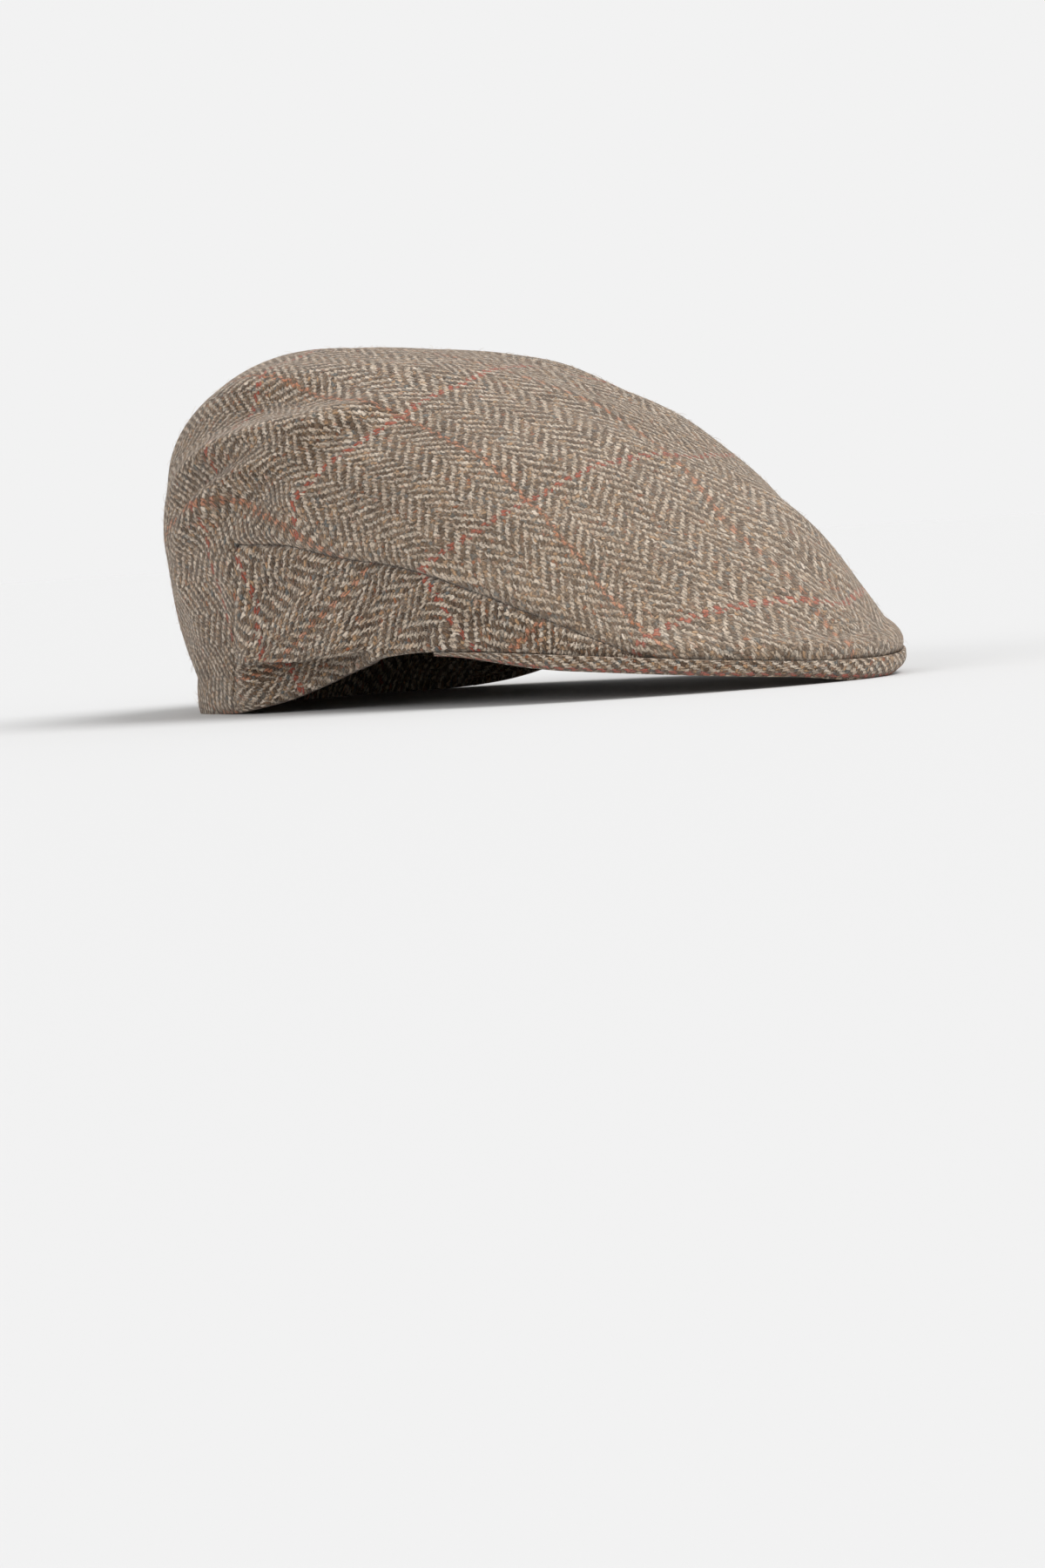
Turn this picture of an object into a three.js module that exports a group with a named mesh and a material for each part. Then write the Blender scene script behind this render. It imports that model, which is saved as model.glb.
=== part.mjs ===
// Flat cap of wool tweed: a one-piece top and back, two side panels and a stiff peak.
// Millimetres, +Z up. The peak points to -Y and the wearer's right is -X.
// The cap rests by itself on its back rim and on the front of its peak.
import * as THREE from 'three';

// Driving dimensions
const clothThickness = 2.4;
const seamGap = 0.36;
const sectionAxisX = 0.4;
const sectionAxisY = 16.7;
const crownHeight = 115.2;
const topSlope = 0.26;
const topRoundLengthwise = 0.00188;
const topRoundCrosswise = 0.00037;
const flatRimFrom = 150;
const peakThickness = 6.4;
const peakInnerThickness = 5;
const peakInnerRise = 13;
const peakTaperFrom = 44;
const peakEndAngle = 68;
const peakTipThickness = 1.2;
const peakArch = 1.5;
const peakArchAt = 0.4;
const peakNoseShare = 0.18;
const headHalfWidth = 78;
const headHalfLength = 101;

// One section every 30 degrees, from the front of the peak round the wearer's right to the back.
// A section is one cubic curve from the top of the crown out to the rim, and the left side mirrors it.
// topReach, shoulderReach: how far out its two handles lie.
// rimReach, rimHeight: its lower end, at the rim or at the seam of the peak.
const sections = [
  { topReach: 76.5, shoulderReach: 119, rimReach: 147.6, rimHeight: 6.76 },
  { topReach: 70.3, shoulderReach: 101.6, rimReach: 128.6, rimHeight: 11.6 },
  { topReach: 58.7, shoulderReach: 97.7, rimReach: 99.9, rimHeight: 17.5 },
  { topReach: 58.6, shoulderReach: 107.4, rimReach: 80.5, rimHeight: 14.6 },
  { topReach: 69, shoulderReach: 122.6, rimReach: 86.4, rimHeight: 2.6 },
  { topReach: 79.2, shoulderReach: 134.9, rimReach: 102.5, rimHeight: 0 },
  { topReach: 79.4, shoulderReach: 135.4, rimReach: 108.6, rimHeight: 0 },
];

// Seam between the top and a side panel. angle: degrees from the front.
// level: place on the section, 0 at the top of the crown and 1 at the rim.
const sideSeam = [
  { angle: 33, level: 1 },
  { angle: 44, level: 0.955 },
  { angle: 56, level: 0.918 },
  { angle: 72, level: 0.884 },
  { angle: 90, level: 0.86 },
  { angle: 106, level: 0.828 },
  { angle: 117, level: 0.818 },
];
// Rear seam of a side panel, from the corner down to the rim
const rearSeam = [
  { angle: 117, level: 0.818 },
  { angle: 121, level: 0.895 },
  { angle: 126, level: 0.955 },
  { angle: 131, level: 1 },
];

// Folds and dents. at: three places on the cloth that the fold runs through, each an angle and a level.
// rise: millimetres out of the cloth, a dent where it is negative. width: its half width.
// right, left: how much of it each side of the cap has.
const folds = [
  { name: 'upper dent', at: [[146, 0.64], [122, 0.59], [96, 0.48]], rise: -3, width: 17, right: 1, left: 0.4 },
  { name: 'upper ridge', at: [[137, 0.73], [112, 0.65], [84, 0.5]], rise: 2.2, width: 14, right: 1, left: 0.4 },
  { name: 'crease', at: [[134, 0.77], [121, 0.715], [105, 0.66]], rise: -2.4, width: 12, right: 1, left: 0 },
  { name: 'sharp ridge', at: [[143, 0.87], [122, 0.775], [98, 0.66]], rise: 3, width: 13, right: 1, left: 0.3 },
  { name: 'back hollow', at: [[134, 0.85], [128, 0.9], [128, 0.96]], rise: -1.8, width: 14, right: 1, left: 0.5 },
  { name: 'side hollow', at: [[119, 0.85], [112, 0.885], [100, 0.885]], rise: -2, width: 12, right: 1, left: 0.6 },
  { name: 'side roll', at: [[117, 0.952], [101, 0.945], [78, 0.965]], rise: 3.4, width: 14, right: 1, left: 0.8 },
  { name: 'rim tuck', at: [[122, 1], [106, 1], [88, 1.01]], rise: -1.8, width: 10, right: 1, left: 0.8 },
];
const foldSegments = 12;
const foldEndShare = 0.08;

// Panel meshes: rows down the cloth, and the step in degrees up to each angle on each side
// The top's rows are even down to evenLevel, and its last rows run on to its edge.
const crownRows = 22;
const crownEdgeRows = 6;
const evenLevel = 0.74;
const sideRows = 9;
const peakStepDegrees = 4;
const sideFrontAngle = 35.5;
const sideRearAngle = 129.8;
const columnSteps = [
  { upTo: 33, right: 5.5, left: 5.5 },
  { upTo: sideFrontAngle, right: 2.5, left: 2.5 },
  { upTo: 90, right: 5.5, left: 6.1 },
  { upTo: 117, right: 3.4, left: 5.4 },
  { upTo: sideRearAngle, right: 2.6, left: 2.6 },
  { upTo: 131, right: 1.2, left: 1.2 },
  { upTo: 150, right: 3.8, left: 6.4 },
  { upTo: 180, right: 6, left: 7.5 },
];

const degrees = Math.PI / 180;

// Cosine series through one column of the sections, level at the front and at the back
function seriesOf(column) {
  const last = sections.length - 1;
  return sections.map((_, order) => {
    const scale = (order === 0 || order === last ? 1 : 2) / last;
    let sum = 0;
    sections.forEach((section, index) => {
      const share = index === 0 || index === last ? 0.5 : 1;
      sum += share * section[column] * Math.cos(Math.PI * order * index / last);
    });
    return sum * scale;
  });
}

const series = Object.fromEntries(Object.keys(sections[0]).map((column) => [column, seriesOf(column)]));

function sectionValue(column, angle) {
  return series[column].reduce((sum, term, order) => sum + term * Math.cos(order * angle * degrees), 0);
}

// A smooth curve through a short table of angle and level, by Catmull-Rom
function levelAlong(table, angle) {
  const last = table.length - 1;
  let index = 0;
  while (index < last - 1 && angle > table[index + 1].angle) {
    index += 1;
  }
  const near = table[index];
  const far = table[index + 1];
  const span = far.angle - near.angle;
  const share = THREE.MathUtils.clamp((angle - near.angle) / span, 0, 1);
  const slopeAt = (place) => {
    const before = table[Math.max(place - 1, 0)];
    const after = table[Math.min(place + 1, last)];
    return (after.level - before.level) / (after.angle - before.angle);
  };
  const square = share * share;
  const cube = square * share;
  return near.level * (2 * cube - 3 * square + 1) + far.level * (3 * square - 2 * cube)
    + span * (slopeAt(index) * (cube - 2 * square + share) + slopeAt(index + 1) * (cube - square));
}

// Lower edge of the top: the peak seam at the front, the side seam, the rear seam, then the back rim
function topEdgeLevel(angle) {
  const turn = Math.abs(angle);
  const corner = rearSeam[0].angle;
  const rimAngle = rearSeam[rearSeam.length - 1].angle;
  if (turn <= sideSeam[0].angle || turn >= rimAngle) {
    return 1;
  }
  return turn <= corner ? levelAlong(sideSeam, turn) : levelAlong(rearSeam, turn);
}

// The rim never dips below the plane that the cap rests on, and its back lies flat on it
function rimHeight(angle) {
  return Math.abs(angle) >= flatRimFrom ? 0 : Math.max(0, sectionValue('rimHeight', angle));
}

function placeAt(angle, reach, height) {
  return new THREE.Vector3(
    sectionAxisX - reach * Math.sin(angle * degrees),
    sectionAxisY - reach * Math.cos(angle * degrees),
    height,
  );
}

// Smooth form of the cap, before its folds
function smoothPoint(angle, level) {
  const rest = 1 - level;
  const start = rest ** 3;
  const first = 3 * level * rest ** 2;
  const second = 3 * level ** 2 * rest;
  const end = level ** 3;
  const slope = topSlope * Math.cos(angle * degrees);
  const round = THREE.MathUtils.lerp(topRoundCrosswise, topRoundLengthwise, Math.cos(angle * degrees) ** 2);
  const topReach = sectionValue('topReach', angle);
  const shoulderReach = sectionValue('shoulderReach', angle);
  const topHeight = crownHeight - slope * topReach;
  const shoulderHeight = crownHeight - slope * shoulderReach - 3 * round * topReach ** 2;
  const reach = first * topReach + second * shoulderReach + end * sectionValue('rimReach', angle);
  const height = start * crownHeight + first * topHeight + second * shoulderHeight + end * rimHeight(angle);
  return placeAt(angle, reach, height);
}

// Outward normal of a surface that is a function of angle and level
function normalOf(surface, angle, level) {
  const angleStep = 0.5;
  const levelStep = 0.004;
  if (level < levelStep) {
    return new THREE.Vector3(0, -topSlope, 1).normalize();
  }
  const across = surface(angle + angleStep, level).sub(surface(angle - angleStep, level));
  const down = surface(angle, level + levelStep).sub(surface(angle, level - levelStep));
  return across.cross(down).normalize();
}

// The line of each fold on the smooth form, on each side of the cap that has it
const foldLines = folds.flatMap((fold) => [1, -1].map((side) => {
  const [start, middle, end] = fold.at.map(([angle, level]) => new THREE.Vector2(angle, level));
  const handle = middle.clone().multiplyScalar(2).sub(start.clone().add(end).multiplyScalar(0.5));
  const line = new THREE.QuadraticBezierCurve(start, handle, end);
  const points = line.getPoints(foldSegments).map((place) => smoothPoint(side * place.x, place.y));
  const share = side === 1 ? fold.right : fold.left;
  return { points, rise: fold.rise * share, width: fold.width };
})).filter((line) => line.rise !== 0);

// A fold rises by a cosine across its width and fades out toward its two ends
function foldHeight(point) {
  const nearest = new THREE.Vector3();
  return foldLines.reduce((sum, line) => {
    let best = 0;
    for (let index = 0; index < foldSegments; index += 1) {
      const segment = new THREE.Line3(line.points[index], line.points[index + 1]);
      const share = segment.closestPointToPointParameter(point, true);
      const distance = segment.at(share, nearest).distanceTo(point) / line.width;
      if (distance < 1) {
        const along = (index + share) / foldSegments;
        const fade = Math.sin(Math.PI * THREE.MathUtils.lerp(foldEndShare, 1 - foldEndShare, along));
        best = Math.max(best, fade * 0.5 * (1 + Math.cos(Math.PI * distance)));
      }
    }
    return sum + line.rise * best;
  }, 0);
}

// Outer face of the cloth. At the rim a fold moves it only outward or inward, never up or down.
function outerPoint(angle, level) {
  const point = smoothPoint(angle, level);
  const normal = normalOf(smoothPoint, angle, level);
  if (level === 1) {
    normal.z = 0;
  }
  return point.addScaledVector(normal, foldHeight(point));
}

// Inner face of the cloth, which is cut level at the rim and never hangs below it
function innerPoint(angle, level) {
  const point = outerPoint(angle, level);
  const normal = normalOf(outerPoint, angle, level);
  const room = level === 1 ? 0 : Math.max(0, point.z - rimHeight(angle));
  const drop = clothThickness * normal.z;
  if (level < 1 && drop <= room) {
    return point.addScaledVector(normal, -clothThickness);
  }
  const inward = (clothThickness - room * normal.z) / (normal.x ** 2 + normal.y ** 2);
  return new THREE.Vector3(point.x - inward * normal.x, point.y - inward * normal.y, point.z - room);
}

// Half the seam gap as a step in level, larger where the seam runs down the cloth
function gapLevel(angle) {
  const edge = topEdgeLevel(angle);
  const step = 0.25;
  const slope = Math.max(...[-step, step].map((turn) => Math.abs(topEdgeLevel(angle + turn) - edge) / step));
  const perLevel = smoothPoint(angle, edge).distanceTo(smoothPoint(angle, edge - 0.01)) / 0.01;
  const perDegree = smoothPoint(angle + step, edge).distanceTo(smoothPoint(angle - step, edge)) / (2 * step);
  return 0.5 * seamGap / perLevel * Math.hypot(1, slope * perLevel / perDegree);
}

// A closed cloth wall over a grid of columns: outer face, inner face and the edges between them
function clothWall(columns, rows, levelAt, closed) {
  const positions = [];
  const triangles = [];
  const firstRow = closed ? 1 : 0;
  const ringSize = rows - firstRow + 1;
  const faceStart = [0, columns.length * ringSize];
  [outerPoint, innerPoint].forEach((pointAt) => columns.forEach((angle) => {
    for (let row = firstRow; row <= rows; row += 1) {
      const level = levelAt(angle, row);
      positions.push(...pointAt(angle, level).toArray());
    }
  }));
  const at = (face, column, row) => faceStart[face] + (column % columns.length) * ringSize + row - firstRow;
  const quad = (a, b, c, d) => triangles.push(a, c, b, a, d, c);
  const spans = closed ? columns.length : columns.length - 1;
  for (let column = 0; column < spans; column += 1) {
    for (let row = firstRow; row < rows; row += 1) {
      quad(at(0, column, row), at(0, column, row + 1), at(0, column + 1, row + 1), at(0, column + 1, row));
      quad(at(1, column, row), at(1, column + 1, row), at(1, column + 1, row + 1), at(1, column, row + 1));
    }
    quad(at(0, column, rows), at(1, column, rows), at(1, column + 1, rows), at(0, column + 1, rows));
    if (!closed) {
      quad(at(0, column, 0), at(0, column + 1, 0), at(1, column + 1, 0), at(1, column, 0));
    }
  }
  if (closed) {
    const poles = [outerPoint(0, 0), innerPoint(0, 0)].map((pole) => positions.push(...pole.toArray()) / 3 - 1);
    for (let column = 0; column < spans; column += 1) {
      triangles.push(poles[0], at(0, column + 1, 1), at(0, column, 1));
      triangles.push(poles[1], at(1, column, 1), at(1, column + 1, 1));
    }
  } else {
    for (let row = 0; row < rows; row += 1) {
      quad(at(0, 0, row), at(1, 0, row), at(1, 0, row + 1), at(0, 0, row + 1));
      quad(at(0, spans, row), at(0, spans, row + 1), at(1, spans, row + 1), at(1, spans, row));
    }
  }
  return geometryOf(positions, triangles);
}

function geometryOf(positions, triangles) {
  const geometry = new THREE.BufferGeometry();
  geometry.setAttribute('position', new THREE.Float32BufferAttribute(positions, 3));
  geometry.setIndex(triangles);
  geometry.computeVertexNormals();
  return geometry;
}

function evenSteps(from, to, size) {
  const count = Math.max(1, Math.round((to - from) / size));
  return Array.from({ length: count }, (_, index) => from + (to - from) * index / count);
}

// Columns of a panel between two angles, closer together where the cloth folds
function columnAngles(side, from, to) {
  let start = from;
  const angles = columnSteps.filter((part) => part.upTo > from).flatMap((part) => {
    const end = Math.min(part.upTo, to);
    const run = end > start ? evenSteps(start, end, part[side]) : [];
    start = Math.max(start, end);
    return run;
  });
  return [...angles, to];
}

// Top and back in one piece, closed over the crown
function crownPanel() {
  const mirrored = columnAngles('left', 0, 180).slice(1, -1).reverse().map((angle) => -angle);
  const columns = [...columnAngles('right', 0, 180), ...mirrored];
  const evenRows = crownRows - crownEdgeRows;
  return clothWall(columns, crownRows, (angle, row) => {
    const edge = topEdgeLevel(angle);
    const lower = edge < 1 ? edge - gapLevel(angle) : 1;
    return row <= evenRows
      ? evenLevel * row / evenRows
      : evenLevel + (lower - evenLevel) * (row - evenRows) / crownEdgeRows;
  }, true);
}

// Side panel between the seam of the top and the rim
function sidePanel(side) {
  const turns = columnAngles(side, sideFrontAngle, sideRearAngle);
  const columns = side === 'right' ? turns : turns.map((angle) => -angle).reverse();
  return clothWall(columns, sideRows, (angle, row) => {
    const upper = topEdgeLevel(angle) + gapLevel(angle);
    return row === sideRows ? 1 : upper + (1 - upper) * row / sideRows;
  }, false);
}

// Stiff peak: a crescent from the forehead edge of the opening out to the seam of the top
function peakSection(angle) {
  const turn = Math.abs(angle);
  const taper = THREE.MathUtils.smoothstep(turn, peakTaperFrom, peakEndAngle);
  const thickness = THREE.MathUtils.lerp(peakThickness, peakTipThickness, taper);
  const innerThickness = THREE.MathUtils.lerp(peakInnerThickness, peakTipThickness, taper);
  const edge = sectionValue('rimReach', angle);
  const top = rimHeight(angle) - seamGap;
  const acrossHead = Math.sin(turn * degrees) / headHalfWidth;
  const alongHead = Math.cos(turn * degrees) / headHalfLength;
  const inner = 1 / Math.hypot(acrossHead, alongHead);
  const innerTop = top + peakInnerRise * (1 - taper);
  const archReach = THREE.MathUtils.lerp(inner, edge, peakArchAt);
  const arch = peakArch * Math.sin(Math.PI * peakArchAt) * (1 - taper);
  const archTop = THREE.MathUtils.lerp(innerTop, top, peakArchAt) + arch;
  const seat = Math.min(2 * clothThickness, peakArchAt * (edge - inner));
  const nose = peakNoseShare * thickness;
  return [
    [inner, innerTop],
    [archReach, archTop],
    [edge - seat, top],
    [edge + 0.3 * nose, top],
    [edge + nose, top - 0.3 * thickness],
    [edge + 0.8 * nose, top - 0.72 * thickness],
    [edge - 0.8 * nose, top - thickness],
    [edge - seat, top - thickness],
    [archReach, archTop - innerThickness],
    [inner, innerTop - innerThickness],
  ];
}

function peakBoard() {
  const angles = [...evenSteps(-peakEndAngle, peakEndAngle, peakStepDegrees), peakEndAngle];
  const positions = [];
  const triangles = [];
  const outline = peakSection(0).length;
  angles.forEach((angle) => peakSection(angle).forEach(([reach, height]) => {
    positions.push(...placeAt(angle, reach, height).toArray());
  }));
  for (let column = 0; column < angles.length - 1; column += 1) {
    for (let place = 0; place < outline; place += 1) {
      const next = (place + 1) % outline;
      const near = column * outline;
      const far = near + outline;
      triangles.push(near + place, far + next, near + next, near + place, far + place, far + next);
    }
  }
  // The ends are closed by a fan across the outline
  const last = (angles.length - 1) * outline;
  const lower = Array.from({ length: outline / 2 }, (_, index) => outline - 1 - index);
  for (let upper = 0; upper < outline / 2 - 1; upper += 1) {
    const [a, b, c, d] = [upper, upper + 1, lower[upper + 1], lower[upper]];
    triangles.push(a, b, c, a, c, d);
    triangles.push(last + a, last + c, last + b, last + a, last + d, last + c);
  }
  return geometryOf(positions, triangles);
}

// Tweed of cream and dark brown yarn, a little darker where the side panels turn down
const tweed = new THREE.MeshStandardMaterial({ color: 0x8f8474, roughness: 0.95, metalness: 0 });
const sideTweed = new THREE.MeshStandardMaterial({ color: 0x857a6b, roughness: 0.95, metalness: 0 });
const peakTweed = new THREE.MeshStandardMaterial({ color: 0x7d7264, roughness: 0.95, metalness: 0 });

function piece(name, geometry, material) {
  const mesh = new THREE.Mesh(geometry, material);
  mesh.name = name;
  return mesh;
}

const cap = new THREE.Group();
cap.add(piece('crown_panel', crownPanel(), tweed));
cap.add(piece('side_panel_right', sidePanel('right'), sideTweed));
cap.add(piece('side_panel_left', sidePanel('left'), sideTweed));
cap.add(piece('peak', peakBoard(), peakTweed));

export default cap;
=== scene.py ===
# Flat cap of herringbone tweed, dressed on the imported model: top, side panels, peak and loose wool.
# Lengths are in millimetres until a mesh is made, which is in metres.
import math

import bpy
import numpy as np
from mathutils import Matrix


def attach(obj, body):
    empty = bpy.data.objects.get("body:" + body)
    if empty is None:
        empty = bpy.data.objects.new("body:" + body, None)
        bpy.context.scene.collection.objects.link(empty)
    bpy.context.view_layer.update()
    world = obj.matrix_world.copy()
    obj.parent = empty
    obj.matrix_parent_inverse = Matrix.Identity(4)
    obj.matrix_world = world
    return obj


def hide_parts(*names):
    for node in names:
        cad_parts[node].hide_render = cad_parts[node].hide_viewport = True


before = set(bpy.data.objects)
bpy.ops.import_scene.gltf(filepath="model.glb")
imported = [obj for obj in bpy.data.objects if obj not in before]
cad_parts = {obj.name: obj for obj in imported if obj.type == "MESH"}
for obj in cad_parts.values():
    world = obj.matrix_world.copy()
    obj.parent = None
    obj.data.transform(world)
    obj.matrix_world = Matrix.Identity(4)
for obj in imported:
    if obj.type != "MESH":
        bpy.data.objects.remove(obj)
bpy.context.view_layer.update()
mm = 0.001
rng = np.random.default_rng(7)

# Camera: the height and direction of the photograph, from the cap's own right side
camera = {
    "place": (-1148.5, -783.3, 51.2),
    "turn": (86.619, 3.938, -55.588),    # degrees
    "lens": 141.0,
    "sensor": 36,
    "farthest": 100,                     # metres
}


def addCamera():
    data = bpy.data.cameras.new("camera")
    data.sensor_fit = "HORIZONTAL"
    data.sensor_width = camera["sensor"]
    data.lens = camera["lens"]
    data.clip_end = camera["farthest"]
    view = bpy.data.objects.new("camera", data)
    view.location = [value * mm for value in camera["place"]]
    view.rotation_euler = [math.radians(value) for value in camera["turn"]]
    bpy.context.scene.collection.objects.link(view)
    bpy.context.scene.camera = view


addCamera()
print("camera placed")


# Form of the cap, the same smooth form that the solids have
capForm = {
    "axis": (0.4, 16.7),      # where the sections start, at the top of the crown
    "crownHeight": 115.2,
    "topSlope": 0.26,
    "roundLengthwise": 0.00188,
    "roundCrosswise": 0.00037,
    "flatRimFrom": 150,       # degrees from the front, where the rim lies on the table
    "cloth": 2.4,             # thickness of the wall
    "seamGap": 0.05,
    "leastUpright": 0.6,      # keeps the wall from growing thick where the outer face lies nearly flat
}

# The section at every 30 degrees, front to back: topReach, shoulderReach, rimReach and rimHeight
sections = np.array([
    (76.5, 119.0, 147.6, 6.76),
    (70.3, 101.6, 128.6, 11.6),
    (58.7, 97.7, 99.9, 17.5),
    (58.6, 107.4, 80.5, 14.6),
    (69.0, 122.6, 86.4, 2.6),
    (79.2, 134.9, 102.5, 0.0),
    (79.4, 135.4, 108.6, 0.0),
])
waves = np.arange(len(sections))
waveTerms = np.linalg.solve(np.cos(np.pi / 6 * np.outer(waves, waves)), sections)

# Seams as places (angle, level): degrees from the front, and a level from 0 at the top of the crown to 1 at the rim
sideSeam = [(33, 1), (44, 0.955), (56, 0.918), (72, 0.884), (90, 0.86), (106, 0.828), (117, 0.818)]
rearSeam = [(117, 0.818), (121, 0.895), (126, 0.955), (131, 1)]


# Sum of cosine waves through the seven sections, for each angle
def sectionAt(angle):
    values = np.cos(np.radians(angle)[..., None] * waves) @ waveTerms
    return np.moveaxis(values, -1, 0)


# Height of the rim: the fourth of the wave sums, never below 0, and 0 at the back, where it lies on the table
def rimHeightAt(angle):
    return np.where(np.abs(angle) >= capForm["flatRimFrom"], 0, np.maximum(sectionAt(angle)[3], 0))


# A cubic Bezier curve from the top of the crown out to the rim, turned round the axis by the angle
def smoothForm(angle, level):
    topReach, shoulderReach, rimReach, _ = sectionAt(angle)
    ahead = np.cos(np.radians(angle))
    slope = capForm["topSlope"] * ahead
    roundness = capForm["roundCrosswise"] + (capForm["roundLengthwise"] - capForm["roundCrosswise"]) * ahead ** 2
    top = capForm["crownHeight"]
    topHeight = top - slope * topReach
    shoulderHeight = top - slope * shoulderReach - 3 * roundness * topReach ** 2
    rest = 1 - level
    first = 3 * level * rest ** 2
    second = 3 * level ** 2 * rest
    reach = first * topReach + second * shoulderReach + level ** 3 * rimReach
    height = rest ** 3 * top + first * topHeight + second * shoulderHeight + level ** 3 * rimHeightAt(angle)
    x = capForm["axis"][0] - reach * np.sin(np.radians(angle))
    y = capForm["axis"][1] - reach * ahead
    return np.stack([x, y, height], axis=-1)


# Outward normal: the form's slope across the cloth crossed with its slope down the cloth
def smoothNormal(angle, level):
    turnStep, levelStep, nearTop = 0.4, 0.003, 0.004
    across = smoothForm(angle + turnStep, level) - smoothForm(angle - turnStep, level)
    down = smoothForm(angle, level + levelStep) - smoothForm(angle, level - levelStep)
    normal = np.cross(across, down)
    top = np.array([0, -capForm["topSlope"], 1])
    normal = np.where((level < nearTop)[..., None], top, normal)
    return normal / np.linalg.norm(normal, axis=-1, keepdims=True)


# A smooth line through places (angle, level), as points on the form: between two places the angle and the level
# each follow the cubic that has their values and slopes
def lineOnForm(places, side=1, count=24):
    angle, level = np.array(places, float).T
    steps = np.arange(len(angle))
    fine = np.linspace(0, len(angle) - 1, count)
    near = np.clip(fine.astype(int), 0, len(angle) - 2)
    share = fine - near

    def smooth(values):
        slope = np.gradient(values, steps)
        return (values[near] * (1 + 2 * share) * (1 - share) ** 2 + values[near + 1] * share ** 2 * (3 - 2 * share)
                + slope[near] * share * (1 - share) ** 2 - slope[near + 1] * share ** 2 * (1 - share))

    return smoothForm(side * smooth(angle), smooth(level))


# Distance from each point to a line of short straight pieces, and the share of the line passed at the nearest place
def distanceTo(points, line):
    best = np.full(points.shape[:-1], np.inf)
    along = np.zeros(points.shape[:-1])
    for step in range(len(line) - 1):
        start, run = line[step], line[step + 1] - line[step]
        share = np.clip((points - start) @ run / (run @ run), 0, 1)
        gap = np.linalg.norm(points - start - share[..., None] * run, axis=-1)
        along = np.where(gap < best, (step + share) / (len(line) - 1), along)
        best = np.minimum(gap, best)
    return best, along


# Folds: places along them, height out of the cloth, half width, sharpness, and the share of the height on the
# right and on the left
folds = {
    "upper dent": ([(143, 0.645), (125, 0.57), (111, 0.505), (96, 0.49)], -5.2, 16, 1.2, 1, 0.4),
    "upper ridge": ([(137, 0.715), (124, 0.67), (110, 0.63), (97, 0.59), (86, 0.53)], 6.0, 12, 1.6, 1, 0.4),
    "crease": ([(139, 0.757), (135, 0.745), (124, 0.70), (114, 0.672), (103, 0.64)], -4.6, 8, 1.2, 1, 0),
    "sharp ridge": ([(138, 0.83), (133, 0.80), (124, 0.752), (114, 0.708), (104, 0.672), (95, 0.65)],
                    7.0, 12, 1.9, 1, 0.3),
    "under ridge": ([(125, 0.80), (115, 0.765), (104, 0.715)], -2.4, 11, 1.0, 1, 0.3),
    "back hollow": ([(128, 0.845), (125, 0.89), (127, 0.95)], -2.0, 12, 1.0, 1, 0.5),
    "back ridge": ([(146, 0.80), (137, 0.87), (133, 0.93)], 1.6, 10, 1.2, 1, 0.5),
    "back notch": ([(162, 0.955), (152, 0.96), (143, 0.97)], -0.9, 5, 1.2, 1, 0.6),
    "hem flare": ([(163, 1), (149, 1), (137, 1)], 1.5, 12, 1.0, 1, 0.8),
    "side hollow": ([(117, 0.875), (110, 0.892), (98, 0.888)], -2.2, 10, 1.0, 1, 0.6),
    "side roll": ([(118, 0.935), (108, 0.93), (97, 0.945), (82, 0.965)], 2.6, 13, 1.0, 1, 0.8),
    "side crease": ([(100, 0.87), (86, 0.9), (72, 0.925)], -0.8, 9, 1.0, 1, 0.7),
    "front roll": ([(-44, 0.98), (-20, 0.975), (0, 0.974), (20, 0.975), (44, 0.98)], 2.6, 6.5, 0.9, 1),
    "top roll": ([(60, 0.2), (90, 0.3), (120, 0.3)], 0.8, 20, 1.0, 1, 1),
}
foldEnds = 0.08               # the share of its half wave that a fold has passed where it starts
foldLines = [
    (lineOnForm(places, side), rise * share, width, sharpness)
    for places, rise, width, sharpness, *shares in folds.values()
    for side, share in zip((1, -1), shares) if share
]

# Grooves where cloth turns in, at the seams, at the peak and along the rim: line, depth and half width
grooves = [(lineOnForm(sideSeam, side, 80), -1.9, 3.4) for side in (1, -1)]
grooves += [(lineOnForm(rearSeam, side, 40), -0.8, 5.5) for side in (1, -1)]
grooves += [(lineOnForm([(turn, 1) for turn in range(-36, 37, 6)], 1, 60), -0.9, 2.8)]
grooves += [(lineOnForm([(turn, 1) for turn in range(33, 150, 9)], side, 60), -1.0, 1.8) for side in (1, -1)]

# The lower edge of the side panel, where the cloth rolls over and tucks under itself
lip = {"places": [(126, 0.952), (116, 0.957), (110, 0.963), (104, 0.97), (94, 0.978), (84, 0.986)],
       "out": 5.8, "reach": 9.0, "tuck": 4.6, "edge": 1.0, "fadeFrom": (125, 117), "fadeTo": (82, 93),
       "perLevel": 290, "recover": 0.5, "recoverOver": (3, 16), "leftShare": 0.7}
rimLevel = 0.9995             # from here on a place counts as the rim


# 0 below start, 1 above end, and the cubic 3s^2 - 2s^3 between them
def smoothStep(value, start, end):
    share = np.clip((value - start) / (end - start), 0, 1)
    return share * share * (3 - 2 * share)


# Above its line the lip swells out exponentially, and below the line the cloth steps in and half recovers. The
# whole fades out toward both ends of the line.
def lipHeight(angle, level):
    turn = np.abs(angle)
    places = np.array(lip["places"][::-1])
    below = (level - np.interp(turn, *places.T)) * lip["perLevel"]
    above = lip["out"] * np.exp(np.minimum(below, 0) / lip["reach"])
    step = (lip["out"] + lip["tuck"]) * smoothStep(below, 0, lip["edge"])
    recover = lip["tuck"] * lip["recover"] * smoothStep(below, *lip["recoverOver"])
    fade = smoothStep(turn, *lip["fadeTo"]) * (1 - smoothStep(turn, *lip["fadeFrom"][::-1]))
    return fade * (above - step + recover) * np.where(angle > 0, 1, lip["leftShare"])


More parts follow.
